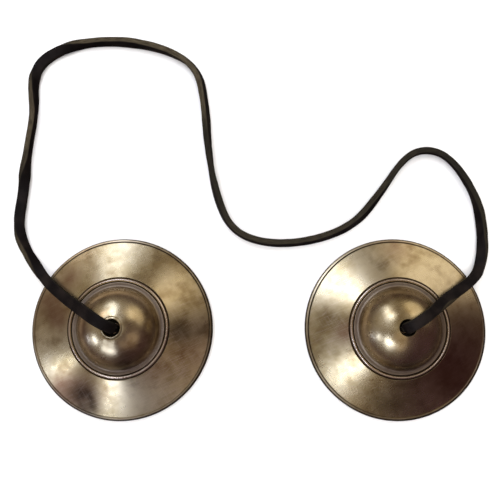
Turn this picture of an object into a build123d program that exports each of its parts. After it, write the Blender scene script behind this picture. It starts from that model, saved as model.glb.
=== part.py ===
from build123d import *
import os
from math import cos, radians, sin, sqrt, tan

# A pair of finger cymbals of the heavy, domed kind (tingsha), lying crown up on a table,
# and the one leather cord that joins them. The cord comes up through the hole in each crown
# and ends in a knot under it.
# Millimetres, +Z up. The origin is on the table, midway between the two cymbals.

os.makedirs("parts", exist_ok=True)

# ---- driving dimensions -----------------------------------------------------------------
# Each cymbal is turned about its own vertical axis: heights are above the table.
HALF_SPACING = 49.1  # from the origin to the axis of either cymbal
RIM_RADIUS = 32.5  # a common 6.5 cm cymbal
REST_FACE_WIDTH = 2.3  # the flat ring under the rim that stands on the table
EDGE_BEVEL = 0.6  # at the foot of the rim's edge
EDGE_HEIGHT = 1.7  # of the upright part of the rim's edge
SHOULDER_HEIGHT = 2.5  # where the rounded edge meets the flange
FLANGE_SAG = 0.35  # how far the flange dips under a straight cone
LAND_HEIGHT = 9.5  # the narrow level ring between the flange and the dome
LAND_OUTER_RADIUS = 17.0
DOME_CENTRE_HEIGHT = 6.25
DOME_RADIUS = 14.8
DOME_FOOT_FILLET = 1.0
WALL = 3.0  # of the dome
MOUTH_HEIGHT = 8.4  # of the rounded edge where the hollow dome opens into the flange
MOUTH_FILLET = 1.2
CROWN_HOLE_RADIUS = 2.8
LIP_BEVEL = {"left": 0.8, "right": 0.4}  # the left hole is worn wider at its lip

# Turned decoration
BEAD_RADIUS = 0.65  # of the raised ring's section
BEAD_PLACE = (16.65, 9.35)  # radius and height of the middle of that section
GROOVE_RADIUS = 0.3  # of the section of each of the three grooves
GROOVE_PLACES = [(17.4, 9.35), (15.9, 9.6), (31.35, 2.85)]

# Leather cord and its knots
CORD_DIAMETER = 3.2  # the round cord with about the section of the flat, twisted thong
KNOT_TOP = 17.4  # just under the inside of the crown
KNOT_HEIGHT = 8.0
KNOT_WIDTH = 9.6
KNOT_ROUNDING = 2.8
TAIL_LENGTH = 8.5  # from the middle of the knot to the cut end
TAIL_LEAN = 30  # degrees from straight down
TAIL_BEARING = {"left": 20, "right": 200}  # degrees from +X, seen from above

# The cord's route, from the left knot to the right one: up through the hole, over the dome
# and the rim, along the table in one big loose S, and back up over the other rim.
CORD_ON_TABLE = CORD_DIAMETER / 2
CORD_LEFT = [
    (-HALF_SPACING, 0, KNOT_TOP),
    (-HALF_SPACING, 0, 22.8),
    (-53.5, 2.4, 24.7),
    (-59.5, 5.8, 18.1),
    (-68.5, 11, 10.6),
    (-76.5, 17, 4.8),
]
CORD_LAID = [
    (-84, 26),
    (-89, 36.5),
    (-87.5, 50),
    (-86.5, 66),
    (-84.5, 81),
    (-86, 95.5),
    (-81, 104),
    (-67, 109),
    (-51, 109.5),
    (-34.5, 106),
    (-23, 98.5),
    (-20, 83.5),
    (-19, 67.5),
    (-16, 49.5),
    (-10, 35.5),
    (3.5, 30.5),
    (21, 32),
    (35.5, 38),
    (45, 49.5),
    (54, 63),
    (62, 67),
    (71.5, 64),
    (80.5, 49.5),
    (82.5, 36),
]
CORD_RIGHT = [
    (81.5, 22.5, 1.9),
    (76, 16.5, 5.4),
    (68.2, 12.2, 10.6),
    (59.3, 6.3, 18.1),
    (53.3, 2.7, 24.7),
    (HALF_SPACING, 0, 22.8),
    (HALF_SPACING, 0, KNOT_TOP),
]
ARC_SHARE = 0.45  # of the shorter run, given to each bend


def dome_height(radius, sphere_radius):
    """Height of the dome's sphere, or of the sphere inside it, at a distance from the axis."""
    return DOME_CENTRE_HEIGHT + sqrt(sphere_radius**2 - radius**2)


def dome_reach(height, sphere_radius):
    """Distance from the axis at which a dome's sphere passes a height."""
    return sqrt(sphere_radius**2 - (height - DOME_CENTRE_HEIGHT) ** 2)


def on_dome(angle, sphere_radius):
    """Point of a dome's sphere, at an angle in degrees above the level of its centre."""
    return (
        sphere_radius * cos(radians(angle)),
        DOME_CENTRE_HEIGHT + sphere_radius * sin(radians(angle)),
    )


# ---- the two cymbals --------------------------------------------------------------------
inner_radius = DOME_RADIUS - WALL
rim_shoulder = (RIM_RADIUS - EDGE_BEVEL, SHOULDER_HEIGHT)
land_edge = (LAND_OUTER_RADIUS, LAND_HEIGHT)
flange_middle = (
    (rim_shoulder[0] + land_edge[0]) / 2,
    (rim_shoulder[1] + land_edge[1]) / 2 - FLANGE_SAG,
)
dome_foot = (dome_reach(LAND_HEIGHT, DOME_RADIUS), LAND_HEIGHT)
mouth = (dome_reach(MOUTH_HEIGHT, inner_radius), MOUTH_HEIGHT)
hole_top_inside = (CROWN_HOLE_RADIUS, dome_height(CROWN_HOLE_RADIUS, inner_radius))

for side, centre_x in (("left", -HALF_SPACING), ("right", HALF_SPACING)):
    lip_radius = CROWN_HOLE_RADIUS + LIP_BEVEL[side]
    lip = (lip_radius, dome_height(lip_radius, DOME_RADIUS))
    with BuildPart() as cymbal:
        section = Plane(origin=(centre_x, 0, 0), x_dir=(1, 0, 0), z_dir=(0, -1, 0))
        with BuildSketch(section) as profile:
            with BuildLine():
                Polyline(
                    mouth,
                    (RIM_RADIUS - EDGE_BEVEL - REST_FACE_WIDTH, 0),
                    (RIM_RADIUS - EDGE_BEVEL, 0),
                    (RIM_RADIUS, EDGE_BEVEL),
                    (RIM_RADIUS, EDGE_HEIGHT),
                    rim_shoulder,
                )
                ThreePointArc(rim_shoulder, flange_middle, land_edge)
                Line(land_edge, dome_foot)
                ThreePointArc(dome_foot, on_dome(45, DOME_RADIUS), lip)
                Polyline(lip, (CROWN_HOLE_RADIUS, lip[1] - LIP_BEVEL[side]), hole_top_inside)
                ThreePointArc(hole_top_inside, on_dome(45, inner_radius), mouth)
            make_face()
            for corner, rounding in ((dome_foot, DOME_FOOT_FILLET), (mouth, MOUTH_FILLET)):
                fillet(profile.vertices().sort_by_distance((*corner, 0))[0], rounding)
            with Locations(BEAD_PLACE):
                Circle(BEAD_RADIUS)
            with Locations(*GROOVE_PLACES):
                Circle(GROOVE_RADIUS, mode=Mode.SUBTRACT)
        revolve(axis=Axis((centre_x, 0, 0), (0, 0, 1)))
    cymbal.part.label = f"{side}_cymbal"
    export_step(cymbal.part, f"parts/{side}_cymbal.step")
    print(f"{side}_cymbal volume {cymbal.part.volume:.0f}, top {cymbal.part.bounding_box().max.Z:.2f}")

# ---- the knots under the crowns ---------------------------------------------------------
for side, centre_x in (("left", -HALF_SPACING), ("right", HALF_SPACING)):
    knot_middle = Vector(centre_x, 0, KNOT_TOP - KNOT_HEIGHT / 2)
    bearing = radians(TAIL_BEARING[side])
    lean = radians(TAIL_LEAN)
    tail_direction = Vector(sin(lean) * cos(bearing), sin(lean) * sin(bearing), -cos(lean))
    with BuildPart() as knot:
        with BuildSketch(Plane(origin=knot_middle, x_dir=(1, 0, 0), z_dir=(0, -1, 0))) as half:
            Rectangle(KNOT_WIDTH / 2, KNOT_HEIGHT, align=(Align.MIN, Align.CENTER))
            fillet(half.vertices().group_by(Axis.X)[-1], KNOT_ROUNDING)
        revolve(axis=Axis(knot_middle, (0, 0, 1)))
        with BuildSketch(Plane(origin=knot_middle, z_dir=tail_direction)):
            Circle(CORD_DIAMETER / 2)
        extrude(amount=TAIL_LENGTH)
    knot.part.label = f"{side}_knot"
    export_step(knot.part, f"parts/{side}_knot.step")

# ---- the cord ---------------------------------------------------------------------------
route = [Vector(*p) for p in CORD_LEFT]
route += [Vector(x, y, CORD_ON_TABLE) for x, y in CORD_LAID]
route += [Vector(*p) for p in CORD_RIGHT]
runs = [b - a for a, b in zip(route, route[1:])]
turns = [a.get_angle(b) for a, b in zip(runs, runs[1:])]
bends = [
    ARC_SHARE * min(a.length, b.length) / tan(radians(turn) / 2)
    for a, b, turn in zip(runs, runs[1:], turns)
]

with BuildPart() as cord:
    with BuildLine() as path:
        FilletPolyline(*route, radius=bends)
    with BuildSketch(Plane(origin=path.line @ 0, z_dir=path.line % 0)) as cord_section:
        Circle(CORD_DIAMETER / 2)
    sweep()
cord.part.label = "cord"
export_step(cord.part, "parts/cord.step")

print("cord radii", [round(bend, 1) for bend in bends])
print("cord turns", [round(turn) for turn in turns])
cord_length = path.wires()[0].length
print(
    f"cord length {cord_length:.1f}, volume {cord.part.volume:.0f}, "
    f"section times length {cord_section.sketch.area * cord_length:.0f}"
)
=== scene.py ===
"""A pair of finger cymbals of turned bell bronze, joined by one dark leather thong.

Every length in the dataclasses is in millimetres and every mesh is in metres, in the frame of the
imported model: +Z up, the table at Z = 0, the two cymbals side by side along X.
"""

import logging
from dataclasses import dataclass, field
from enum import Enum

import bpy
import numpy as np
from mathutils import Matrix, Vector
from numpy.typing import NDArray


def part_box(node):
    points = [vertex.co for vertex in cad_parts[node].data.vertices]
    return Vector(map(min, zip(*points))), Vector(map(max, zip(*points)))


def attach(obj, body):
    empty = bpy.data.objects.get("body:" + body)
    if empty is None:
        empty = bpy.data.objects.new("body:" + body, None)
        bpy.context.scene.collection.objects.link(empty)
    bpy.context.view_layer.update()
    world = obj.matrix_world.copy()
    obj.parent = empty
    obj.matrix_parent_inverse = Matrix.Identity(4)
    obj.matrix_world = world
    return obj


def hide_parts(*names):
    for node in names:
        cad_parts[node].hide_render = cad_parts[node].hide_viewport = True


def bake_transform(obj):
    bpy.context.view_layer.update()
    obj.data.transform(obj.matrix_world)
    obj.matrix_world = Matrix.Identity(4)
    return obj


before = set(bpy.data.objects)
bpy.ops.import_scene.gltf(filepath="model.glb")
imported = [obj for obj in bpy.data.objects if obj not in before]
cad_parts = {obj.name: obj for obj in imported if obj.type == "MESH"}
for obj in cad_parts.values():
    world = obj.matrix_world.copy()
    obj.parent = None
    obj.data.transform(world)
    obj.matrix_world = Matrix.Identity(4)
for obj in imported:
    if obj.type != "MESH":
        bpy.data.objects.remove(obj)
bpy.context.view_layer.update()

Array = NDArray[np.float64]
MM = 0.001
log = logging.getLogger("finger_cymbals")


class Side(Enum):
    """The two ends of the pair, as seen from above with +Y away from the viewer."""

    LEFT = "left"
    RIGHT = "right"


# ---- small tools for meshes -------------------------------------------------------------------


def smooth_step(value: Array, low: float, high: float) -> Array:
    """Rises from 0 at low to 1 at high, as t * t * (3 - 2 t) of the clamped fraction t."""
    t = np.clip((value - low) / (high - low), 0.0, 1.0)
    return t * t * (3.0 - 2.0 * t)


def hump(value: Array, middle: float, half_width: float) -> Array:
    """A round hump: 1 - x * x inside half_width of the middle, where x runs from -1 to 1, else 0."""
    x = (value - middle) / half_width
    return np.clip(1.0 - x * x, 0.0, 1.0)


def wander(distance: Array, spacing: float, seed: int) -> Array:
    """A slow uneven drift along a length.

    Random values from -1 to 1 stand every spacing, joined by smooth steps.

    Args:
        distance: places along the length, from 0 up.
        spacing: between one random value and the next, in the same unit.
        seed: which drift.

    Returns:
        One value from -1 to 1 for each place.
    """
    knots = np.random.default_rng(seed).uniform(-1.0, 1.0, int(distance.max() / spacing) + 3)
    place = distance / spacing
    before = place.astype(int)
    share = smooth_step(place - before, 0.0, 1.0)
    return knots[before] + (knots[before + 1] - knots[before]) * share


def between_keys(distance: Array, keys: list[tuple[float, float]]) -> Array:
    """Values at places along a length, joined between the keys by smooth steps.

    Args:
        distance: places along the length.
        keys: pairs of place and value, in order.

    Returns:
        One value for each place.
    """
    places, values = np.array(keys, float).T
    after = np.clip(np.searchsorted(places, distance, side="right"), 1, len(places) - 1)
    share = (distance - places[after - 1]) / (places[after] - places[after - 1])
    return values[after - 1] + (values[after] - values[after - 1]) * smooth_step(share, 0.0, 1.0)


def arc(centre: tuple[float, float], radius: float, start: float, end: float, count: int) -> Array:
    """Points of a circle in a section, centre + radius * (cos a, sin a), with a in degrees."""
    angle = np.radians(np.linspace(start, end, count))
    return np.stack([centre[0] + radius * np.cos(angle), centre[1] + radius * np.sin(angle)], axis=1)


def line(start: tuple[float, float], end: tuple[float, float], count: int) -> Array:
    """Evenly spaced points from start to end, start left out."""
    share = np.linspace(0.0, 1.0, count + 1)[1:, None]
    return np.array(start) + (np.array(end) - np.array(start)) * share


def tube_mesh(
    name: str, rings: Array, closed: bool, uv: tuple[Array, Array], attributes: dict[str, Array]
) -> bpy.types.Object:
    """Makes an object from rings of points joined by four-sided faces.

    Face (i, j) joins points j and j + 1 of ring i to the same points of ring i + 1. The last ring
    is joined to the first where the shape is closed, and both end rings are capped otherwise.

    Args:
        name: of the object.
        rings: places in metres, shape (rings, points in a ring, 3).
        closed: whether the last ring meets the first.
        uv: the U value at each of the ring's points and one more, and the V value at each ring and
            one more.
        attributes: point values by name, each of shape (rings, points in a ring).

    Returns:
        The object, linked to the scene, with smooth faces.
    """
    count, around = rings.shape[:2]
    i, j = np.meshgrid(np.arange(count if closed else count - 1), np.arange(around), indexing="ij")
    i, j = i.ravel(), j.ravel()
    after, beside = (i + 1) % count, (j + 1) % around
    here, ahead = i * around, after * around
    quads = np.stack([here + j, here + beside, ahead + beside, ahead + j], axis=1)
    faces = quads.tolist()
    if not closed:
        faces += [list(range(around))[::-1], list(range((count - 1) * around, count * around))]
    mesh = bpy.data.meshes.new(name)
    mesh.from_pydata(rings.reshape(-1, 3).tolist(), [], faces)
    across, along = uv
    flat_uv = np.zeros((len(mesh.loops), 2))
    flat_uv[: quads.size, 0] = np.stack([across[j], across[j + 1], across[j + 1], across[j]], axis=1).ravel()
    flat_uv[: quads.size, 1] = np.stack([along[i], along[i], along[i + 1], along[i + 1]], axis=1).ravel()
    mesh.uv_layers.new(name="surface").data.foreach_set("uv", flat_uv.ravel())
    for attribute, values in attributes.items():
        layer = mesh.attributes.new(attribute, "FLOAT", "POINT")
        layer.data.foreach_set("value", np.ascontiguousarray(values, np.float32).ravel())
    mesh.polygons.foreach_set("use_smooth", np.ones(len(mesh.polygons), bool))
    mesh.update()
    piece = bpy.data.objects.new(name, mesh)
    bpy.context.scene.collection.objects.link(piece)
    return piece


def spline_points(route: list[tuple[float, float, float]], step: float) -> Array:
    """Evenly spaced points of the smooth NURBS spline that a route controls.

    Args:
        route: control points in metres.
        step: distance between the points that come back, in metres.

    Returns:
        Points in metres, shape (points, 3).
    """
    curve = bpy.data.curves.new("route", "CURVE")
    curve.dimensions = "3D"
    spline = curve.splines.new("NURBS")
    spline.points.add(len(route) - 1)
    spline.points.foreach_set("co", np.hstack([np.array(route), np.ones((len(route), 1))]).ravel())
    spline.order_u = 3
    spline.use_endpoint_u = True
    spline.resolution_u = 24
    holder = bpy.data.objects.new("route", curve)
    read = bpy.data.meshes.new_from_object(holder)
    places = np.zeros(len(read.vertices) * 3)
    read.vertices.foreach_get("co", places)
    places = places.reshape(-1, 3)
    bpy.data.objects.remove(holder)
    bpy.data.curves.remove(curve)
    bpy.data.meshes.remove(read)
    distance = np.concatenate([[0.0], np.cumsum(np.linalg.norm(np.diff(places, axis=0), axis=1))])
    wanted = np.linspace(0.0, distance[-1], int(distance[-1] / step) + 1)
    return np.stack([np.interp(wanted, distance, places[:, axis]) for axis in range(3)], axis=1)


# ---- small tools for finishes -----------------------------------------------------------------


def linear(colour: str) -> tuple[float, float, float, float]:
    """Turns an sRGB hex colour into linear red, green, blue and a full alpha."""
    shown = np.array([int(colour[k : k + 2], 16) for k in (1, 3, 5)]) / 255.0
    value = np.where(shown <= 0.04045, shown / 12.92, ((shown + 0.055) / 1.055) ** 2.4)
    return (*(float(v) for v in value), 1.0)


def add_node(
    tree: bpy.types.NodeTree, kind: str, inputs: dict | None = None, **settings: object
) -> bpy.types.Node:
    """Adds a node with its settings and links.

    Args:
        tree: the node tree.
        kind: the node's type name.
        inputs: a value, or an output socket to link, for each named or numbered input.
        settings: the node's own properties.

    Returns:
        The node.
    """
    node = tree.nodes.new(kind)
    for name, value in settings.items():
        setattr(node, name, value)
    for key, value in (inputs or {}).items():
        if isinstance(value, bpy.types.NodeSocket):
            tree.links.new(value, node.inputs[key])
        else:
            node.inputs[key].default_value = value
    return node


def empty_material(name: str) -> tuple[bpy.types.Material, bpy.types.NodeTree]:
    """Makes a material that has no nodes yet, and gives its node tree with it."""
    material = bpy.data.materials.new(name)
    material.use_nodes = True
    material.node_tree.nodes.clear()
    return material, material.node_tree


def point_value(tree: bpy.types.NodeTree, name: str) -> bpy.types.NodeSocket:
    """Reads one of a mesh's point attributes."""
    return add_node(tree, "ShaderNodeAttribute", attribute_name=name).outputs["Fac"]


def noise(
    tree: bpy.types.NodeTree, coordinates: bpy.types.NodeSocket, scale: float, detail: float,
    roughness: float = 0.5,
) -> bpy.types.NodeSocket:
    """A cloudy value near a half, at a scale per unit of the coordinates."""
    return add_node(
        tree, "ShaderNodeTexNoise",
        {"Vector": coordinates, "Scale": scale, "Detail": detail, "Roughness": roughness},
    ).outputs["Fac"]


def stretch(
    tree: bpy.types.NodeTree, value: bpy.types.NodeSocket, low: float, high: float,
    bottom: float = 0.0, top: float = 1.0, **settings: object,
) -> bpy.types.NodeSocket:
    """Stretches a value so that low gives bottom and high gives top, held between them."""
    return add_node(
        tree, "ShaderNodeMapRange",
        {"Value": value, "From Min": low, "From Max": high, "To Min": bottom, "To Max": top},
        **settings,
    ).outputs["Result"]


def mix_colours(
    tree: bpy.types.NodeTree, share: bpy.types.NodeSocket, first: object, second: object
) -> bpy.types.NodeSocket:
    """Mixes two colours by a share, from the first at 0 to the second at 1.

    Args:
        tree: the node tree.
        share: of the second colour.
        first: an sRGB hex text, four linear values or a socket.
        second: the same.

    Returns:
        The mixed colour. Sockets 6 and 7 are the node's two colours and output 2 is its mixed one.
    """
    first, second = (linear(c) if isinstance(c, str) else c for c in (first, second))
    return add_node(
        tree, "ShaderNodeMix", {0: share, 6: first, 7: second}, data_type="RGBA"
    ).outputs[2]


def relief(
    tree: bpy.types.NodeTree, layers: list[tuple[bpy.types.NodeSocket, float, float]]
) -> bpy.types.NodeSocket:
    """Lays bumps over each other.

    Args:
        tree: the node tree.
        layers: each one's height from 0 to 1, its depth in mm at 1 and its strength.

    Returns:
        The normal.
    """
    below: dict[str, bpy.types.NodeSocket] = {}
    for height, depth, strength in layers:
        bump = add_node(
            tree, "ShaderNodeBump",
            {"Height": height, "Distance": depth * MM, "Strength": strength, **below},
        )
        below = {"Normal": bump.outputs["Normal"]}
    return below["Normal"]


def per_metre(size_mm: float) -> float:
    """The scale of a texture whose pattern repeats about every size_mm, on coordinates in metres."""
    return 1.0 / (size_mm * MM)


@dataclass(frozen=True)
class TurnedBellBronze:
    """Cast bell bronze (copper with about a fifth of tin), turned on a lathe and hand polished.

    The eye gets a warm olive-gold metal with a satin gloss, streaked radially because the polishing
    lines run round the disc, clouded by thin olive and red-brown tarnish, with grime and painted shade
    in every groove, down the hole, round the rim's edge and at the dome's foot.
    """

    clean: str = "#d9cba8"
    olive: str = "#ac9868"
    red_brown: str = "#8a6350"
    # near-black: grime and dark tarnish, and also painted shade and painted dark reflections
    grime_and_shade_colour: str = "#261811"
    # near-white: wear, and on the bead's crest and the rim's shoulder partly a painted highlight; it also
    # lightens the scratches
    worn: str = "#f2e3d2"
    stain: str = "#7d6548"
    film: str = "#a5978e"
    roughness: float = 0.27
    anisotropy: float = 0.38
    cloud_size: float = 14.0  # mm, of the tarnish clouds
    stain_size: float = 7.0  # mm, of the brown stains from handling
    mottle_size: float = 3.0  # mm, of the fine mottling inside the clouds
    lathe_line: float = 0.45  # mm; real polishing lines are about 0.1, drawn as coarse as shows
    scratch_width: float = 0.35  # mm; real scratches are hair-fine, drawn as coarse as shows
    scratch_run: float = 24.0  # a scratch's length, in widths
    scratch_turns: tuple[float, ...] = (-0.7, 0.55, -1.15)  # radians, of the three sets of scratches
    streaks_round: float = 6.0  # repeats of the polishing lines' pattern in one turn
    noise_roughness: float = 0.55

    def material(self) -> bpy.types.Material:
        """Builds the material.

        Returns:
            The material, which reads Object coordinates, the UV map and the point attributes
            red_tarnish, dark_tarnish_and_shade, dull_film, scratched, crevice, worn_edge_and_sheen and underside.
        """
        material, tree = empty_material("turned_bell_bronze")
        place = add_node(tree, "ShaderNodeTexCoord").outputs["Object"]
        uv = add_node(tree, "ShaderNodeUVMap", uv_map="surface").outputs["UV"]
        amount = {
            name: point_value(tree, name)
            for name in (
                "red_tarnish", "dark_tarnish_and_shade", "dull_film", "scratched", "grime_and_painted_shade", "worn_edge_and_sheen",
                "underside",
            )
        }

        def sums(
            operation: str, *values: float | bpy.types.NodeSocket, clamp: bool = True
        ) -> bpy.types.NodeSocket:
            """One arithmetic step on two or three values."""
            return add_node(
                tree, "ShaderNodeMath", dict(enumerate(values)), operation=operation, use_clamp=clamp
            ).outputs["Value"]

        lines_place = add_node(
            tree, "ShaderNodeMapping",
            {"Vector": uv, "Scale": (self.streaks_round, per_metre(self.lathe_line), 1.0)},
        )
        lathe_lines = noise(tree, lines_place.outputs["Vector"], 1.0, 2.0, self.noise_roughness)
        scratches: list[bpy.types.NodeSocket] = []
        for angle in self.scratch_turns:
            turned = add_node(
                tree, "ShaderNodeMapping",
                {"Vector": place, "Rotation": (0.0, 0.0, angle),
                 "Scale": (self.scratch_width * MM, self.scratch_width * self.scratch_run * MM, 1.0)},
                vector_type="TEXTURE",
            )
            scratches.append(noise(tree, turned.outputs["Vector"], 1.0, 1.0, self.noise_roughness))
        first_two = sums("MAXIMUM", *scratches[:2])
        crossed = sums("MULTIPLY", sums("ADD", first_two, scratches[2], clamp=False), 0.5)
        scratch_depth = sums(
            "MULTIPLY", stretch(tree, crossed, 0.5, 0.68), sums("ADD", amount["scratched"], 0.15)
        )

        clouds, mottle, stains = (
            noise(tree, place, per_metre(size), detail, self.noise_roughness)
            for size, detail in (
                (self.cloud_size, 3.0), (self.mottle_size, 4.0), (self.stain_size, 3.0)
            )
        )
        olive_share = sums(
            "ADD", stretch(tree, clouds, 0.38, 0.68, top=0.8), stretch(tree, mottle, 0.45, 0.8, top=0.25)
        )
        red_edge = sums(
            "ADD", amount["red_tarnish"], sums("MULTIPLY", stretch(tree, mottle, 0.3, 0.7), 0.25)
        )
        red_share = sums("MULTIPLY", sums("SUBTRACT", red_edge, 0.15), 0.85)
        # dark tarnish, and painted shade where the dark patches stand for it
        dark_and_shade_share = sums("MULTIPLY", amount["dark_tarnish_and_shade"], stretch(tree, clouds, 0.1, 0.6))
        colour = linear(self.clean)
        for share, over in (
            (olive_share, self.olive),
            (stretch(tree, stains, 0.52, 0.7, top=0.45), self.stain),
            (red_share, self.red_brown),
            (dark_and_shade_share, self.grime_and_shade_colour),
            (sums("MULTIPLY", amount["dull_film"], 0.75), self.film),
            # the worn bead crest and rim shoulder, partly a painted highlight
            (amount["worn_edge_and_sheen"], self.worn),
            (sums("MULTIPLY", scratch_depth, 0.5), self.worn),
            # painted shade in the grooves, down the hole, at the rim's edge and the dome's foot, with grime
            (sums("MULTIPLY", amount["grime_and_painted_shade"], 0.92), self.grime_and_shade_colour),
        ):
            colour = mix_colours(tree, share, colour, over)

        roughness = self.roughness - 0.05
        for source, rise in (
            (mottle, 0.10), (red_share, 0.08), (scratch_depth, 0.12), (amount["scratched"], 0.16),
            (amount["dull_film"], 0.18), (amount["grime_and_painted_shade"], 0.25),
        ):
            roughness = sums("ADD", roughness, sums("MULTIPLY", source, rise))
        roughness = sums("SUBTRACT", roughness, sums("MULTIPLY", amount["worn_edge_and_sheen"], 0.06))
        roughness = sums("ADD", roughness, sums("MULTIPLY", amount["underside"], 0.15))

        normal = relief(tree, [
            (lathe_lines, 0.012, 0.5), (scratch_depth, 0.05, 0.7), (mottle, 0.05, 0.35),
        ])
        tangent = add_node(tree, "ShaderNodeTangent", direction_type="UV_MAP", uv_map="surface")
        shader = add_node(
            tree, "ShaderNodeBsdfPrincipled",
            {"Base Color": colour, "Metallic": 1.0, "Roughness": roughness,
             "Anisotropic": self.anisotropy, "Normal": normal, "Tangent": tangent.outputs["Tangent"]},
        )
        add_node(tree, "ShaderNodeOutputMaterial", {"Surface": shader.outputs["BSDF"]})
        return material


@dataclass(frozen=True)
class DyedHideLeather:
    """Cowhide thong, dyed black on its faces and cut by hand, with undyed brown on the cut edges.

    The eye gets near-black faces with a dull waxed gloss, olive-brown fibrous edges and small nicks.
    """

    face: str = "#0f0c0c"
    rubbed: str = "#1d1816"
    cut_edge: str = "#4d4536"
    edge_dark: str = "#302a20"
    black_edge: str = "#141311"
    roughness: float = 0.55
    grain_size: float = 0.7  # mm; real grain is about 0.3, drawn as coarse as shows
    fibre_width: float = 0.35  # mm, across the cut edge's fibres
    fibre_run: float = 9.0  # a fibre's length, in widths
    rub_size: float = 6.0  # mm, of the rubbed places

    def material(self) -> bpy.types.Material:
        """Builds the material.

        Returns:
            The material, which reads Object coordinates, the UV map and the point attributes cut
            and tan.
        """
        material, tree = empty_material("dyed_hide_leather")
        place = add_node(tree, "ShaderNodeTexCoord").outputs["Object"]
        uv = add_node(tree, "ShaderNodeUVMap", uv_map="surface").outputs["UV"]
        cut, tan = point_value(tree, "cut"), point_value(tree, "tan")
        grain = noise(tree, place, per_metre(self.grain_size), 3.0)
        patches = noise(tree, place, per_metre(self.rub_size), 2.0)
        fibre_length = self.fibre_width * self.fibre_run
        fibres_place = add_node(
            tree, "ShaderNodeMapping",
            {"Vector": uv, "Scale": (per_metre(self.fibre_width), per_metre(fibre_length), 1.0)},
        )
        fibres = noise(tree, fibres_place.outputs["Vector"], 1.0, 3.0)
        face = mix_colours(tree, stretch(tree, patches, 0.42, 0.7), self.face, self.rubbed)
        brown = mix_colours(tree, stretch(tree, fibres, 0.35, 0.65), self.edge_dark, self.cut_edge)
        edge = mix_colours(tree, tan, self.black_edge, brown)
        colour = mix_colours(tree, cut, face, edge)
        roughness = add_node(
            tree, "ShaderNodeMath", {0: cut, 1: 0.25, 2: self.roughness}, operation="MULTIPLY_ADD"
        ).outputs["Value"]
        normal = relief(tree, [(grain, 0.12, 0.6), (fibres, 0.10, 0.5)])
        shader = add_node(
            tree, "ShaderNodeBsdfPrincipled",
            {"Base Color": colour, "Roughness": roughness, "IOR": 1.5, "Specular IOR Level": 0.07,
             "Normal": normal},
        )
        add_node(tree, "ShaderNodeOutputMaterial", {"Surface": shader.outputs["BSDF"]})
        return material


# ---- the cymbals ------------------------------------------------------------------------------


@dataclass(frozen=True)
class Patch:
    """A soft round patch of a finish or of painted shade on a cymbal: its bearing (degrees from +X, seen
    from above), its middle's distance from the axis and its half width in mm, and how strong it is."""

    bearing: float
    radius: float
    spread: float
    strength: float


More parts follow.
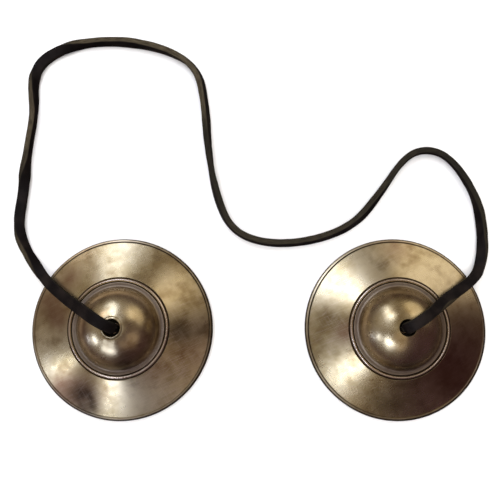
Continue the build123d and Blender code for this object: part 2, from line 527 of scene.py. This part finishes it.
@dataclass
class Cymbal:
    """One domed cymbal, a closed surface of revolution about its own upright axis."""

    side: Side
    lip_bevel: float  # how far the crown hole's lip is worn back
    red_patches: list[Patch]
    # dark tarnish, some of them painted shade
    dark_and_shaded_patches: list[Patch]
    scratch_patches: list[Patch]
    seed: int
    lip_ring: float = 0.0  # depth of the worn ring round the hole, and strength of the painted shade on it
    groove_shade_bearing: float = 60.0  # bearing at which the rim's groove is darkest with grime and painted shade
    segments: int = 256
    dome_centre: float = 6.25
    dome_radius: float = 14.8
    wall: float = 3.0
    foot_fillet: float = 1.0
    hole_radius: float = 2.8
    land_height: float = 9.5
    land_edge: float = 17.0
    shoulder_height: float = 2.5
    shoulder_inset: float = 0.6
    flange_sag: float = 0.35
    bead_middle: float = 16.97
    bead_half: float = 0.54
    bead_height: float = 0.3
    grooves: list[tuple[float, float, float]] = field(
        default_factory=lambda: [(16.25, 0.22, 0.3), (17.68, 0.22, 0.3), (31.35, 0.26, 0.28)]
    )  # middle, half width and depth of each
    rest_face: float = 2.3
    rest_inset: float = 0.6  # from the rim to the rest ring, before the rim's foot is rounded
    edge_rounding: float = 0.65  # of the rim's upper edge
    foot_rounding: float = 0.7  # of the rim's lower edge
    mouth_height: float = 8.4
    lip_ring_reach: float = 0.75  # from the hole's wall to the worn ring
    ring_bearing: float = -70.0  # where the painted shade on that ring is darkest
    shade_bearing: float = -50.0  # where the painted shade on the rim's shoulder is darkest
    unevenness: float = 0.035  # of the hand finish, up and down

    def __post_init__(self) -> None:
        """Reads the axis and the rim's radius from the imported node."""
        low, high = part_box(f"{self.side.value}_cymbal")
        self.centre_x = (low.x + high.x) / 2 / MM
        self.rim_radius = (high.x - low.x) / 2 / MM

    def flange_height(self, radius: Array) -> Array:
        """Height of the upper side from the dome's foot to the rim.

        A level land, then a straight fall to the rim's shoulder less a parabola of the sag, plus
        the bead and less the grooves.
        """
        run = self.rim_radius - self.shoulder_inset - self.land_edge
        share = np.clip((radius - self.land_edge) / run, 0.0, None)
        height = self.land_height - share * (self.land_height - self.shoulder_height)
        height -= 4.0 * self.flange_sag * share * np.clip(1.0 - share, 0.0, None)
        height += self.bead_height * hump(radius, self.bead_middle, self.bead_half)
        for middle, half, depth in self.grooves:
            height -= depth * hump(radius, middle, half)
        return height

    def section(self) -> tuple[Array, Array]:
        """The cymbal's section, once round.

        Returns:
            The outline's radius and height in mm, shape (points, 2), and its underside's share,
            0 on the upper side and 1 below.
        """
        rim, inner = self.rim_radius, self.dome_radius - self.wall
        lip = self.hole_radius + self.lip_bevel
        lip_height = self.dome_centre + np.sqrt(self.dome_radius**2 - lip**2)
        lip_angle = np.degrees(np.arctan2(lip_height - self.dome_centre, lip))
        fillet_rise = self.land_height + self.foot_fillet - self.dome_centre
        fillet_reach = np.sqrt((self.dome_radius + self.foot_fillet) ** 2 - fillet_rise**2)
        foot_angle = np.degrees(np.arctan2(fillet_rise, fillet_reach))
        inside_top = self.dome_centre + np.sqrt(inner**2 - self.hole_radius**2)
        wall_top = lip_height - self.lip_bevel
        hole = line((self.hole_radius, inside_top), (self.hole_radius, wall_top), 6)
        worn = arc((lip, wall_top), self.lip_bevel, 180.0, lip_angle + 6.0, 9)[1:]
        crown = arc((0.0, self.dome_centre), self.dome_radius, lip_angle - 0.4, lip_angle - 7.0, 15)
        crown[:, 1] -= self.lip_ring * hump(crown[:, 0], self.hole_radius + self.lip_ring_reach, 0.35)
        slope = arc((0.0, self.dome_centre), self.dome_radius, lip_angle - 8.0, foot_angle, 52)
        fillet = arc(
            (fillet_reach, self.dome_centre + fillet_rise), self.foot_fillet, 180.0 + foot_angle, 270.0, 9
        )[1:]
        shoulder = rim - self.shoulder_inset
        fine = [np.linspace(m - h, m + h, 11) for m, h, _ in self.grooves]
        fine.append(np.linspace(self.bead_middle - self.bead_half, self.bead_middle + self.bead_half, 15))
        coarse = np.linspace(fillet_reach + 0.1, shoulder, 62)
        radii = np.unique(np.round(np.concatenate([coarse, *fine]), 4))
        flange = np.stack([radii, self.flange_height(radii)], axis=1)
        edge_turn, foot_turn = self.edge_rounding, self.foot_rounding
        edge_round = arc((shoulder - 0.05, self.shoulder_height - edge_turn), edge_turn, 85.0, 0.0, 9)
        edge_round[-1, 0] = rim
        edge = line(tuple(edge_round[-1]), (rim, foot_turn), 3)
        foot = arc((rim - foot_turn, foot_turn), foot_turn, 0.0, -90.0, 8)[1:]
        face_inner = rim - self.rest_inset - self.rest_face
        face = line((rim - foot_turn, 0.0), (face_inner + 0.3, 0.0), 5)
        mouth = (float(np.sqrt(inner**2 - (self.mouth_height - self.dome_centre) ** 2)), self.mouth_height)
        inner_edge = np.array([(face_inner + 0.05, 0.05), (face_inner - 0.25, 0.2)])
        cone = line((face_inner - 0.25, 0.2), (mouth[0] + 1.0, mouth[1] - 0.47), 30)
        lip_inside = np.array([(mouth[0] + 0.5, mouth[1] - 0.15), (mouth[0] + 0.1, mouth[1] + 0.25)])
        mouth_angle = np.degrees(np.arctan2(mouth[1] + 0.7 - self.dome_centre, mouth[0]))
        top_angle = np.degrees(np.arctan2(inside_top - self.dome_centre, self.hole_radius))
        hollow = arc((0.0, self.dome_centre), inner, mouth_angle, top_angle, 26)
        upper = [hole, worn, crown, slope, fillet, flange, edge_round, edge]
        lower = [foot, face, inner_edge, cone, lip_inside, hollow]
        outline = np.concatenate(upper + lower)
        below = np.concatenate([np.zeros(sum(map(len, upper))), np.ones(sum(map(len, lower)))])
        return outline, below

    def patches(self, patches: list[Patch], x: Array, y: Array) -> Array:
        """How strongly a finish covers each place.

        The sum of strength * exp(-(distance / spread)^2) over the patches, held at 1.
        """
        total = np.zeros_like(x)
        for patch in patches:
            bearing = np.radians(patch.bearing)
            away = np.hypot(x - patch.radius * np.cos(bearing), y - patch.radius * np.sin(bearing))
            total += patch.strength * np.exp(-((away / patch.spread) ** 2))
        return np.clip(total, 0.0, 1.0)

    def build(self, finish: bpy.types.Material) -> bpy.types.Object:
        """Turns the section about the axis.

        x = r cos a and y = r sin a from the axis, with a few slow waves in the height that are the
        same on both faces, so the wall keeps its thickness.

        Args:
            finish: the bronze.

        Returns:
            The cymbal, riding on its CAD body in place of its CAD node.
        """
        outline, below = self.section()
        angle = np.linspace(0.0, 2.0 * np.pi, self.segments, endpoint=False)
        radius, turn = np.meshgrid(outline[:, 0], angle, indexing="ij")
        height = np.repeat(outline[:, 1:], self.segments, axis=1)
        x, y = radius * np.cos(turn), radius * np.sin(turn)
        random = np.random.default_rng(self.seed)
        wave = np.zeros_like(radius)
        for fold in range(2, 9):
            size, start, pitch = random.uniform(-1, 1), random.uniform(0, 6.3), random.uniform(3, 9)
            wave += size * np.cos(fold * turn + start + radius / pitch)
        height = np.clip(height + self.unevenness * wave * smooth_step(height, 0.5, 2.5), 0.0, None)
        rings = np.stack([self.centre_x + x, y, height], axis=2) * MM
        # grime and painted shade in the grooves: the rim's groove darkest towards its bearing, the bead's
        # grooves evenly
        rim_groove_grime_and_shade = 0.6 + 0.45 * np.cos(turn - np.radians(self.groove_shade_bearing))
        grime_and_painted_shade = np.zeros_like(radius)
        for middle, half, _ in self.grooves:
            at_rim = middle > self.land_edge + 5.0
            grime_and_painted_shade += (rim_groove_grime_and_shade if at_rim else 1.0) * hump(radius, middle, half * 1.2)
        # painted shade down the hole's wall
        grime_and_painted_shade += 0.85 * (radius < self.hole_radius + 0.05)
        # painted shade on the worn ring round the hole, darkest towards ring_bearing
        ring_shade_weight = 0.5 + 0.5 * np.cos(turn - np.radians(self.ring_bearing))
        ring = hump(radius, self.hole_radius + self.lip_ring_reach, 0.4)
        grime_and_painted_shade += 8.0 * self.lip_ring * ring_shade_weight * ring
        # painted dark reflection on the rim's outer side and painted shade on its shoulder, darkest towards
        # shade_bearing
        shaded = 0.75 + 0.75 * np.cos(turn - np.radians(self.shade_bearing))
        grime_and_painted_shade += 0.9 * smooth_step(radius, self.rim_radius - 0.6, self.rim_radius - 0.1)
        grime_and_painted_shade += shaded * smooth_step(radius, self.rim_radius - 0.95, self.rim_radius - 0.3)
        # painted shade in the corner at the dome's foot
        grime_and_painted_shade += 0.4 * hump(radius, self.land_edge - 1.85, 0.8)
        # the underside is darker all over
        grime_and_painted_shade = np.clip(grime_and_painted_shade, 0, 1) * (1 - below[:, None]) + 0.45 * below[:, None]
        # wear along the bead's crest and the rim's shoulder, partly a painted highlight
        worn = hump(radius, self.bead_middle, self.bead_half * 0.9)
        worn += 0.2 * hump(radius, self.rim_radius - 0.7, 0.4)
        worn = np.clip(worn, 0, 1) * (1 - below[:, None])
        distance = np.concatenate([[0.0], np.cumsum(np.linalg.norm(np.diff(outline, axis=0), axis=1))])
        along = np.append(distance, distance[-1] + 1.0) * MM
        piece = tube_mesh(
            f"{self.side.value}_bronze_cymbal", rings, True,
            (np.arange(self.segments + 1) / self.segments, along),
            {
                "red_tarnish": self.patches(self.red_patches, x, y),
                "dark_tarnish_and_shade": self.patches(self.dark_and_shaded_patches, x, y),
                "dull_film": hump(radius, self.land_edge - 1.7, 1.3) * (1 - below[:, None]),
                "scratched": self.patches(self.scratch_patches, x, y),
                "grime_and_painted_shade": grime_and_painted_shade,
                "worn_edge_and_sheen": worn,
                "underside": np.repeat(below[:, None], self.segments, axis=1),
            },
        )
        piece.data.materials.append(finish)
        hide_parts(f"{self.side.value}_cymbal")
        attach(piece, f"{self.side.value}_cymbal")
        return piece


# ---- the thong and its knots ------------------------------------------------------------------


@dataclass(frozen=True)
class ThongSection:
    """The hand-cut strip's section, a rectangle with rounded corners."""

    width: float = 3.9
    thickness: float = 2.4
    points: int = 32
    squareness: float = 5.0

    def outline(self) -> tuple[Array, Array]:
        """The superellipse |x / a|^n + |y / b|^n = 1.

        Returns:
            The outline in mm, shape (points, 2), and how much each point lies on a cut edge.
        """
        turn = np.linspace(0.0, 2.0 * np.pi, self.points, endpoint=False) + np.pi / self.points
        power = 2.0 / self.squareness
        across = np.sign(np.cos(turn)) * np.abs(np.cos(turn)) ** power
        up = np.sign(np.sin(turn)) * np.abs(np.sin(turn)) ** power
        cut = smooth_step(np.abs(across) - np.abs(up), -0.04, 0.2)
        return np.stack([across * self.width / 2, up * self.thickness / 2], axis=1), cut

    def sweep(
        self, name: str, path: Array, roll: Array, heading: Array, tan: Array, seed: int, settle: bool
    ) -> tuple[bpy.types.Object, Array]:
        """Carries the section along a path.

        The strip's width lies level, square to the path, then turns about the path by the roll.

        Args:
            name: of the object.
            path: points in metres.
            roll: degrees at each point; 0 lies flat and 90 stands on its edge.
            heading: the way the strip is taken to run where the path is upright, one vector for
                each point.
            tan: how brown the cut edges are at each point, from 0 to 1.
            seed: of the uneven cut.
            settle: whether stretches near the table are lowered or raised until they lie on it.

        Returns:
            The object, and the path's points after settling.
        """
        outline, cut = self.outline()
        tangent = np.gradient(path, axis=0)
        tangent /= np.linalg.norm(tangent, axis=1, keepdims=True)
        level = np.cross([0.0, 0.0, 1.0], tangent * [1, 1, 0] + heading)
        level -= tangent * np.sum(level * tangent, axis=1, keepdims=True)
        level /= np.linalg.norm(level, axis=1, keepdims=True)
        above = np.cross(tangent, level)
        turn = np.radians(roll)[:, None]
        wide = level * np.cos(turn) + above * np.sin(turn)
        thick = above * np.cos(turn) - level * np.sin(turn)
        step = np.linalg.norm(np.diff(path, axis=0), axis=1)
        distance = np.concatenate([[0.0], np.cumsum(step)]) / MM
        widths = 1.0 + 0.045 * wander(distance, 11.0, seed) + 0.02 * wander(distance, 2.3, seed + 1)
        thicks = 1.0 + 0.05 * wander(distance, 8.0, seed + 2) + 0.025 * wander(distance, 1.9, seed + 3)
        across = outline[None, :, 0] * widths[:, None] * MM
        up = outline[None, :, 1] * thicks[:, None] * MM
        rings = path[:, None] + wide[:, None] * across[..., None] + thick[:, None] * up[..., None]
        if settle:
            near = 1.0 - smooth_step(path[:, 2] / MM, 1.7, 3.6)
            drop = rings[..., 2].min(axis=1) * near
            rings[..., 2] -= drop[:, None]
            path = path - np.stack([drop * 0, drop * 0, drop], axis=1)
        around = np.linspace(0.0, 2.0 * (self.width + self.thickness), self.points + 1) * MM
        along = np.append(distance, distance[-1]) * MM
        piece = tube_mesh(
            name, rings, False, (around, along),
            {
                "cut": np.repeat(cut[None], len(path), axis=0),
                "tan": np.repeat(tan[:, None], self.points, axis=1),
            },
        )
        return piece, path


@dataclass
class LeatherThong:
    """The one cord of the pair, from the knot under the left crown to the knot under the right."""

    section: ThongSection = field(default_factory=ThongSection)
    step: float = 0.5
    table: float = 1.6  # height of the route where it lies on the table
    left_route: list[tuple[float, float, float]] = field(default_factory=lambda: [
        (-49.1, 0, 18.9), (-49.1, 0, 22.8), (-53.5, 2.4, 24.7), (-59.5, 5.8, 18.1),
        (-68.5, 11, 10.6), (-76.5, 17, 4.8),
    ])
    laid_route: list[tuple[float, float]] = field(default_factory=lambda: [
        (-84, 26), (-89, 36.5), (-87.5, 50), (-86.5, 66), (-84.5, 81), (-86, 95.5),
        (-81, 104), (-67, 109), (-51, 109.5), (-34.5, 106), (-23, 98.5), (-20, 83.5),
        (-19, 67.5), (-16, 49.5), (-10, 35.5), (3.5, 30.5), (21, 32), (35.5, 38),
        (45, 49.5), (54, 63), (62, 67), (71.5, 64), (80.5, 49.5), (82.5, 36),
    ])
    right_route: list[tuple[float, float, float]] = field(default_factory=lambda: [
        (81.5, 22.5, 1.9), (76, 16.5, 5.4), (68.2, 12.2, 10.6), (59.3, 6.3, 18.1),
        (53.3, 2.7, 24.7), (49.1, 0, 22.8), (49.1, 0, 18.9),
    ])
    roll: list[tuple[float, float]] = field(default_factory=lambda: [
        (0, 0), (38, 0), (56, 62), (70, 14), (78, 14), (93, 88), (108, 90), (116, 70), (120, 62),
        (129, 14), (134, 12), (150, 84), (164, 80), (178, 92), (192, 106), (212, 110), (228, 94),
        (244, 74), (260, 88), (285, 80), (312, 68), (332, 88), (355, 104), (367, 98),
        (382, 62), (402, 14), (415, 10), (424, 46), (432, 6), (450, 0),
    ])  # millimetres from the left knot, and degrees from lying flat
    tan: list[tuple[float, float]] = field(default_factory=lambda: [
        (0, 0.1), (40, 0.2), (56, 0.8), (70, 0.1), (80, 0.2), (92, 0.6), (100, 1.0), (118, 0.9),
        (128, 0.1), (138, 0.3), (148, 1.0), (205, 1.0), (222, 0.15), (245, 0.2), (262, 0.4),
        (290, 0.4), (320, 0.3), (360, 0.15), (395, 0.35), (410, 0.7), (450, 0.4),
    ])  # millimetres from the left knot, and how brown the cut edges are there
    end_reach: float = 9.0  # how far from each end the strip is upright in the hole

    def build(self, finish: bpy.types.Material, knots: list[bpy.types.Object]) -> bpy.types.Object:
        """Args:
            finish: the leather.
            knots: the two knots on its ends; not used.

        Returns:
            The thong, with its transform baked into its mesh.
        """
        route = [*self.left_route, *((x, y, self.table) for x, y in self.laid_route), *self.right_route]
        path = spline_points([tuple(c * MM for c in point) for point in route], self.step * MM)
        distance = np.linspace(0.0, 1.0, len(path)) * (len(path) - 1) * self.step
        left_end = (1.0 - smooth_step(distance, self.end_reach * 0.6, self.end_reach))[:, None]
        from_right = distance[-1] - self.end_reach
        right_end = smooth_step(distance, from_right, distance[-1] - self.end_reach * 0.6)[:, None]
        out_left = np.subtract(self.left_route[2], self.left_route[1]) * [1, 1, 0]
        in_right = np.subtract(self.right_route[-2], self.right_route[-3]) * [1, 1, 0]
        heading = left_end * out_left / np.linalg.norm(out_left)
        heading = heading + right_end * in_right / np.linalg.norm(in_right)
        piece, path = self.section.sweep(
            "leather_thong", path, between_keys(distance, self.roll), heading,
            between_keys(distance, self.tan), 11, True,
        )
        piece.data.materials.append(finish)
        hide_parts("cord")
        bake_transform(piece)
        return piece


@dataclass
class ThongKnot:
    """An overhand knot under a crown, pulled tight, with its short cut tail."""

    side: Side
    turn: float  # degrees about the upright axis
    section: ThongSection = field(default_factory=lambda: ThongSection(3.3, 2.0, 24, 4.0))
    middle_height: float = 13.2
    route: list[tuple[float, float, float]] = field(default_factory=lambda: [
        (0, 0, 6.1), (-0.1, 0, 3.0), (-1.0, 0, 0.5), (-0.9, 0, -2.2), (0.6, -0.2, -3.7),
        (3.0, 0, -3.3), (3.7, 0.4, -0.8), (2.7, 1.9, 1.6), (-0.2, 3.1, 2.0), (-3.1, 1.9, 1.3),
        (-3.2, -1.5, 0.5), (-0.9, -3.1, -0.3), (1.4, -1.3, -1.4), (1.9, 1.6, -2.6),
        (2.2, 3.3, -5.0), (2.5, 4.0, -7.6),
    ])  # millimetres from the knot's middle: down, round itself and out through its own loop

    def build(self, finish: bpy.types.Material) -> bpy.types.Object:
        """Sweeps the strip along the knot's route.

        Args:
            finish: the leather.

        Returns:
            The knot, in place of its CAD node, riding on the left knot's body on the left and on the cord's
            body on the right.
        """
        low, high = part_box(f"{self.side.value}_cymbal")
        turn = np.radians(self.turn)
        spin = np.array([[np.cos(turn), np.sin(turn), 0], [-np.sin(turn), np.cos(turn), 0], [0, 0, 1]])
        middle = np.array([(low.x + high.x) / 2 / MM, 0.0, self.middle_height])
        route = np.array(self.route, float) @ spin + middle
        path = spline_points([tuple(point * MM) for point in route], 0.35 * MM)
        roll = np.full(len(path), 90.0)
        heading = np.tile([0.35, 0.2, 0.0], (len(path), 1))
        piece, _ = self.section.sweep(
            f"{self.side.value}_thong_knot", path, roll, heading, np.full(len(path), 0.4), 31, False
        )
        piece.data.materials.append(finish)
        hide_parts(f"{self.side.value}_knot")
        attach(piece, "left_knot" if self.side is Side.LEFT else "cord")
        return piece


# ---- the stage --------------------------------------------------------------------------------


@dataclass(frozen=True)
class Panel:
    """A soft oval studio panel: where its middle stands, what it faces and its size, in mm, its
    radiance and colour, and how wide its grid lets the light out, in degrees (180 without one)."""

    name: str
    place: tuple[float, float, float]
    faces: tuple[float, float, float]
    size: tuple[float, float]
    radiance: float
    colour: str = "#ffffff"
    grid: float = 180.0

    def build(self) -> None:
        """Hangs the panel.

        Its power is pi * area * radiance * (1 - h / tan h), h being half the grid's angle, as a
        grid gathers the same power into the narrower beam.
        """
        light = bpy.data.lights.new(self.name, "AREA")
        light.shape = "ELLIPSE"
        light.size, light.size_y = (side * MM for side in self.size)
        half = np.radians(self.grid / 2)
        area = np.pi / 4 * light.size * light.size_y
        light.energy = np.pi * area * self.radiance * (1.0 - half / np.tan(half))
        light.color = linear(self.colour)[:3]
        light.spread = np.radians(self.grid)
        panel = bpy.data.objects.new(self.name, light)
        bpy.context.scene.collection.objects.link(panel)
        ahead = Vector(self.faces) - Vector(self.place)
        panel.location = Vector(self.place) * MM
        panel.rotation_euler = ahead.to_track_quat("-Z", "Y").to_euler()
        panel.visible_camera = False


@dataclass
class Studio:
    """The camera, the pale floor and the light."""

    camera_place: tuple[float, float, float] = (-3.17, -2.21, 227.1)
    camera_tilt: float = 7.78  # degrees from straight down, towards +Y
    lens: float = 44.64
    floor_side: float = 6000.0
    floor_card: str = "#f8f8f7"
    backdrop: tuple[float, float, float, float] = (0.96, 0.96, 0.96, 1.0)  # linear, seen directly
    overhead_strength: float = 3.1
    overhead_width: float = 100.0  # degrees, of the soft light overhead
    dark_wall: str = "#48343a"
    light_wall: str = "#a4998a"
    table_glow: str = "#c4b0a0"
    table_shade: str = "#4a3e3c"
    panels: list[Panel] = field(default_factory=lambda: [
        Panel("north_panel", (-112, 200, 190), (-49, 0, 5), (107, 290), 2.8, "#dae4ff"),
        Panel("north_grid", (-92, 160, 205), (49, 0, 5), (101, 135), 3.4, "#dae4ff", 42.0),
        Panel("south_grid_left", (-126, -224, 118), (-49, 0, 5), (94, 60), 8.0, "#dae4ff", 40.0),
        Panel("south_grid_right", (-111, -174, 185), (49, 0, 5), (98, 106), 9.0, "#dae4ff", 40.0),
        Panel("west_panel", (-570, -277, 265), (-49, 0, 5), (107, 146), 8.5, "#dae4ff"),
        Panel("low_west_panel", (-600, -210, 60), (-49, 0, 15), (73, 67), 5.0, "#ccd8ff"),
        Panel("north_west_grid", (-190, 170, 190), (-49, 0, 5), (100, 100), 2.0, "#ffe6dc", 30.0),
        Panel("north_east_panel", (190, 170, 130), (0, 0, 5), (270, 190), 0.78, "#fff3e0"),
        Panel("north_east_grid", (125, 180, 205), (-35, 10, 5), (160, 140), 1.0, "#fff3e0", 34.0),
        Panel("south_east_card", (28, -62, 85), (-40, -10, 5), (101, 79), 0.34, "#ffe9cf"),
    ])

    def camera(self) -> None:
        """Sets up the camera, nearly overhead."""
        lens = bpy.data.cameras.new("view")
        lens.lens = self.lens
        lens.sensor_width = 36.0
        lens.clip_start = 0.01
        lens.clip_end = 50.0
        camera = bpy.data.objects.new("view", lens)
        camera.location = [c * MM for c in self.camera_place]
        camera.rotation_euler = (np.radians(self.camera_tilt), 0.0, 0.0)
        bpy.context.scene.collection.objects.link(camera)
        bpy.context.scene.camera = camera

    def floor(self) -> None:
        """Lays a large level sheet at Z = 0, a plain matt pale surface.

        It takes the pair's shadow, but neither the metal's reflections nor its bounced light show it.
        """
        half = self.floor_side / 2 * MM
        mesh = bpy.data.meshes.new("floor")
        corners = [(-half, -half, 0), (half, -half, 0), (half, half, 0), (-half, half, 0)]
        mesh.from_pydata(corners, [], [(0, 1, 2, 3)])
        material = bpy.data.materials.new("matt_white_card")
        material.use_nodes = True
        shader = material.node_tree.nodes["Principled BSDF"]
        shader.inputs["Base Color"].default_value = linear(self.floor_card)
        shader.inputs["Roughness"].default_value = 0.9
        mesh.materials.append(material)
        floor = bpy.data.objects.new("floor", mesh)
        bpy.context.scene.collection.objects.link(floor)
        floor.visible_glossy = False
        floor.visible_diffuse = False

    def lights(self) -> None:
        """Hangs the panels and one wide soft light overhead that the metal doesn't mirror."""
        for panel in self.panels:
            panel.build()
        sky = bpy.data.lights.new("overhead", "SUN")
        sky.energy = self.overhead_strength
        sky.angle = np.radians(self.overhead_width)
        overhead = bpy.data.objects.new("overhead", sky)
        overhead.visible_glossy = False
        bpy.context.scene.collection.objects.link(overhead)

    def room(self) -> None:
        """The dim room round the table: lighter to the west, north and overhead, dark to the east.

        Below the level of the table the metal mirrors the table's own glow instead. The camera sees
        a plain pale backdrop.
        """
        world = bpy.data.worlds.new("room")
        world.use_nodes = True
        tree = world.node_tree
        tree.nodes.clear()
        way = add_node(tree, "ShaderNodeTexCoord")
        split = add_node(tree, "ShaderNodeSeparateXYZ", {"Vector": way.outputs["Generated"]}).outputs

        def ramp(axis: str, low: float, high: float, bottom: float, top: float) -> bpy.types.NodeSocket:
            """A smooth change along one axis of the direction looked in."""
            return stretch(
                tree, split[axis], low, high, bottom, top, interpolation_type="SMOOTHSTEP"
            )

        west = ramp("X", 0.45, -0.6, 0.0, 0.6)
        north = ramp("Y", -0.2, 0.7, 0.0, 0.6)
        height = ramp("Z", -0.25, 0.4, 0.1, 1.0)
        ceiling = ramp("Z", 0.86, 0.99, 0.0, 0.8)
        below = ramp("Z", -0.15, -0.45, 0.0, 1.0)
        both = add_node(
            tree, "ShaderNodeMath", {0: west, 1: north}, operation="ADD", use_clamp=True
        ).outputs["Value"]
        share, across = (
            add_node(
                tree, "ShaderNodeMath", {0: both, 1: times, 2: plus},
                operation="MULTIPLY_ADD", use_clamp=True,
            ).outputs["Value"]
            for times, plus in ((height, ceiling), (1.6, -0.48))
        )
        walls = mix_colours(tree, share, self.dark_wall, self.light_wall)
        table = mix_colours(tree, across, self.table_shade, self.table_glow)
        colour = mix_colours(tree, below, walls, table)
        seen = add_node(tree, "ShaderNodeLightPath").outputs["Is Camera Ray"]
        shown = mix_colours(tree, seen, colour, self.backdrop)
        background = add_node(tree, "ShaderNodeBackground", {"Color": shown, "Strength": 1.0})
        add_node(tree, "ShaderNodeOutputWorld", {"Surface": background.outputs["Background"]})
        bpy.context.scene.world = world


def main() -> None:
    """Builds the stage and every piece in order."""
    logging.basicConfig(level=logging.INFO, format="%(name)s: %(message)s")
    studio = Studio()
    studio.camera()
    studio.floor()
    studio.lights()
    studio.room()
    bpy.context.scene.view_settings.view_transform = "Standard"

    leather = DyedHideLeather().material()
    bronze = TurnedBellBronze().material()
    knots = [ThongKnot(Side.LEFT, 20.0).build(leather), ThongKnot(Side.RIGHT, 200.0).build(leather)]
    thong = LeatherThong().build(leather, knots)
    log.info("%s with %s and %s", thong.name, knots[0].name, knots[1].name)
    cymbals = [
        Cymbal(
            Side.LEFT, 0.35,
            red_patches=[
                Patch(136, 26, 4, 0.7), Patch(160, 27, 7, 0.9), Patch(172, 21, 4, 0.7),
                Patch(238, 26, 7, 1.0), Patch(226, 31, 5, 0.9), Patch(310, 19, 5, 0.55),
                Patch(341, 27, 7, 0.5),
                Patch(185, 10, 3, 0.5), Patch(300, 10, 4, 0.5),
            ],
            # the patches at bearings 356 and 357 paint the shade of the unlit east side, and the one at 12.5
            # mm paints the dark reflection low on the dome's south side
            dark_and_shaded_patches=[
                Patch(356, 21, 4.5, 0.75), Patch(357, 28, 4, 0.5), Patch(243, 27, 6, 1.0),
                Patch(135, 30, 4, 0.2), Patch(160, 27, 7, 0.15),
                Patch(285, 12.5, 4.5, 0.75), Patch(250, 31, 5, 0.4),
            ],
            scratch_patches=[Patch(318, 25, 13, 1.0), Patch(20, 24, 8, 0.3)],
            seed=3, lip_ring=0.1, groove_shade_bearing=60.0,
        ),
        Cymbal(
            Side.RIGHT, 0.15,
            red_patches=[
                Patch(319, 21, 7, 0.9), Patch(318, 30, 6, 0.6), Patch(8, 25, 10, 0.6), Patch(89, 29, 5, 0.6),
                Patch(184, 19, 4, 0.8), Patch(345, 28, 8, 0.6),
            ],
            # the patch at 12.5 mm paints the dark reflection low on the dome's south side
            dark_and_shaded_patches=[
                Patch(105, 22, 4, 0.4), Patch(112, 30, 4, 0.35), Patch(171, 24, 5, 0.3),
                Patch(8, 25, 10, 0.35), Patch(270, 26, 9, 0.3), Patch(280, 12.5, 5, 0.75),
                Patch(250, 27, 7, 0.4),
            ],
            scratch_patches=[Patch(100, 24, 8, 0.3), Patch(180, 24, 8, 0.4)],
            seed=8, groove_shade_bearing=150.0,
        ),
    ]
    for cymbal in cymbals:
        piece = cymbal.build(bronze)
        log.info("%s: %d faces", piece.name, len(piece.data.polygons))


if __name__ == "__main__":
    main()
